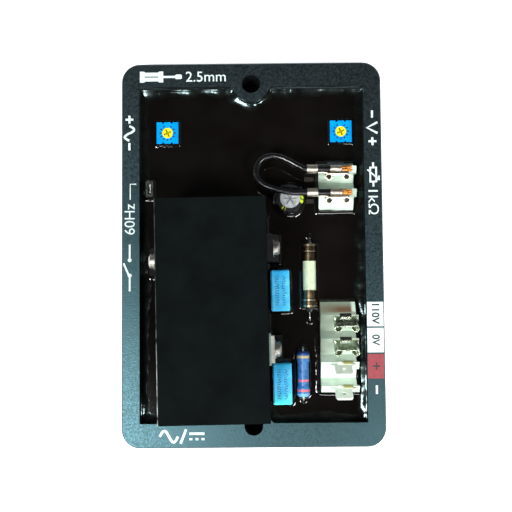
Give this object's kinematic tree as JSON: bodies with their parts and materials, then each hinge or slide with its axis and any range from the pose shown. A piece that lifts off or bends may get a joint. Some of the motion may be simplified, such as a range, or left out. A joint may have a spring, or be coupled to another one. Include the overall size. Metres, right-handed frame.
{
  "type": "automatic voltage regulator",
  "caption": "Potted generator voltage regulator: a resin-filled tray with a channel heatsink, push-on terminals, a soldered fuse and screwdriver trimmers.",
  "frame": {"origin": "centre of the tray's back face, which lies on the panel it is fixed to", "axes": "+X to the right and +Y towards the trimmers as the open side is read, +Z out of the tray"},
  "size_m": [0.0984, 0.145, 0.04],
  "materials": {
    "case_plastic": "moulded black plastic, fine grain",
    "board_laminate": "green solder mask on glass laminate",
    "resin": "glossy dark potting resin",
    "black_aluminium": "matt black anodised",
    "device_moulding": "moulded black epoxy",
    "tinned_metal": "tinned copper and steel",
    "ceramic_white": "white alumina",
    "screw_steel": "bright zinc plate",
    "trimmer_blue": "bright blue moulding",
    "rotor_yellow": "yellow moulding",
    "contact_brass": "spring brass",
    "link_black": "moulded black nylon",
    "can_aluminium": "bright drawn can",
    "sleeve_black": "shrunk black sleeve",
    "seal_rubber": "black rubber",
    "film_blue": "sky blue moulded box",
    "fuse_brass": "plated brass caps",
    "resistor_blue": "blue enamel",
    "block_nylon": "off-white nylon",
    "wire_pvc": "black flexible insulation",
    "copper": "bare copper strands",
    "small_tan": "tan lacquer"
  },
  "bodies": {
    "unit": {"case": "case_plastic", "circuit_board": "board_laminate", "potting_resin": "resin", "heatsink": "black_aluminium", "upper_thyristor": "device_moulding", "upper_thyristor_leads": "tinned_metal", "lower_thyristor": "device_moulding", "lower_thyristor_frame": "tinned_metal", "insulating_pad": "ceramic_white", "freewheel_diode": "device_moulding", "freewheel_diode_leads": "tinned_metal", "device_screws": "screw_steel", "device_washers": "screw_steel", "stab_trimmer_housing": "trimmer_blue", "stab_trimmer_base": "ceramic_white", "stab_trimmer_pins": "tinned_metal", "volt_trimmer_housing": "trimmer_blue", "volt_trimmer_base": "ceramic_white", "volt_trimmer_pins": "tinned_metal", "link_header": "link_black", "link_pins": "tinned_metal", "link_shunt": "link_black", "link_shunt_contact": "tinned_metal", "reservoir_can": "can_aluminium", "reservoir_sleeve": "sleeve_black", "reservoir_seal": "seal_rubber", "reservoir_leads": "tinned_metal", "upper_film_capacitor": "film_blue", "lower_film_capacitor": "film_blue", "film_capacitor_leads": "tinned_metal", "fuse_tube": "ceramic_white", "fuse_element": "tinned_metal", "fuse_caps": "fuse_brass", "fuse_pigtails": "fuse_brass", "power_resistor": "resistor_blue", "power_resistor_leads": "tinned_metal", "pot_terminal_block": "block_nylon", "pot_tabs": "tinned_metal", "power_terminal_block": "block_nylon", "excitation_tabs": "tinned_metal", "supply_sockets": "tinned_metal", "jumper_wire": "wire_pvc", "jumper_upper_receptacle": "tinned_metal", "jumper_lower_receptacle": "tinned_metal", "jumper_strands": "copper", "control_chip": "device_moulding", "control_chip_pins": "tinned_metal", "board_resistors": "small_tan", "board_resistor_leads": "tinned_metal", "board_diodes": "device_moulding", "board_diode_leads": "tinned_metal"},
    "stab_rotor": {"stab_trimmer_rotor": "rotor_yellow", "stab_trimmer_wiper": "contact_brass"},
    "volt_rotor": {"volt_trimmer_rotor": "rotor_yellow", "volt_trimmer_wiper": "contact_brass"}
  },
  "joints": [
    {"name": "stab_adjust", "type": "hinge", "parent": "unit", "child": "stab_rotor", "pos_m": [-0.03225, 0.0467, 0.013], "axis": [0, 0, 1], "range_deg": [-120, 120]},
    {"name": "volt_adjust", "type": "hinge", "parent": "unit", "child": "volt_rotor", "pos_m": [0.03425, 0.0467, 0.013], "axis": [0, 0, 1], "range_deg": [-120, 120]}
  ]
}
